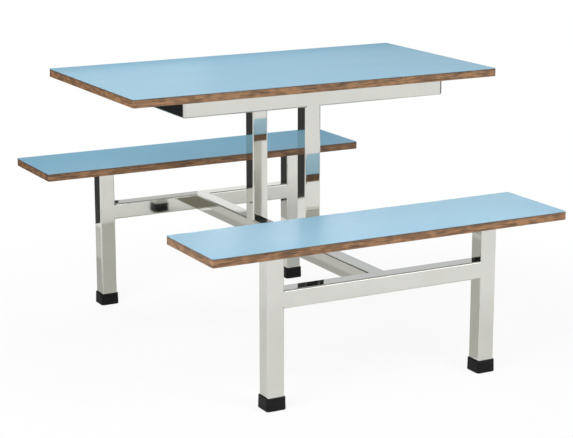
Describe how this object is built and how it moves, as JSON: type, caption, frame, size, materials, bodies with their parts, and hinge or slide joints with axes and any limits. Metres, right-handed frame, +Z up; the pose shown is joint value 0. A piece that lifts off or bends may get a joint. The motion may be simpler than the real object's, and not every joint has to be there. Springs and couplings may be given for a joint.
{
  "type": "canteen table and bench set",
  "caption": "Dining table with a fixed bench on each side, blue laminated boards on one welded frame of polished square steel tube with black foot caps.",
  "frame": {"origin": "on the floor, under the middle of the table top and midway between the benches", "axes": "+X along the table, +Y from the front bench to the rear bench, +Z up"},
  "size_m": [1.06, 1.299, 0.75],
  "materials": {
    "steel": "mirror-polished stainless steel",
    "plate_steel": "mill finish",
    "plywood": "lacquered edge",
    "laminate": "satin laminate",
    "cap_plastic": "moulded"
  },
  "bodies": {
    "root": {"table_core": "plywood", "table_laminate": "laminate", "bench_front_core": "plywood", "bench_front_laminate": "laminate", "bench_rear_core": "plywood", "bench_rear_laminate": "laminate", "top_rail_front": "steel", "top_rail_rear": "steel", "top_rail_left": "steel", "top_rail_right": "steel", "column_front": "steel", "column_rear": "steel", "cross_beam": "steel", "stretcher_front": "steel", "stretcher_rear": "steel", "leg_front_left": "steel", "leg_front_right": "steel", "leg_rear_left": "steel", "leg_rear_right": "steel", "foot_cap_front_left": "cap_plastic", "foot_cap_front_right": "cap_plastic", "foot_cap_rear_left": "cap_plastic", "foot_cap_rear_right": "cap_plastic", "seat_plate_front_left": "plate_steel", "seat_plate_front_right": "plate_steel", "seat_plate_rear_left": "plate_steel", "seat_plate_rear_right": "plate_steel", "fixing_lug_front_left": "plate_steel", "fixing_lug_front_right": "plate_steel", "fixing_lug_rear_left": "plate_steel", "fixing_lug_rear_right": "plate_steel"}
  },
  "joints": []
}
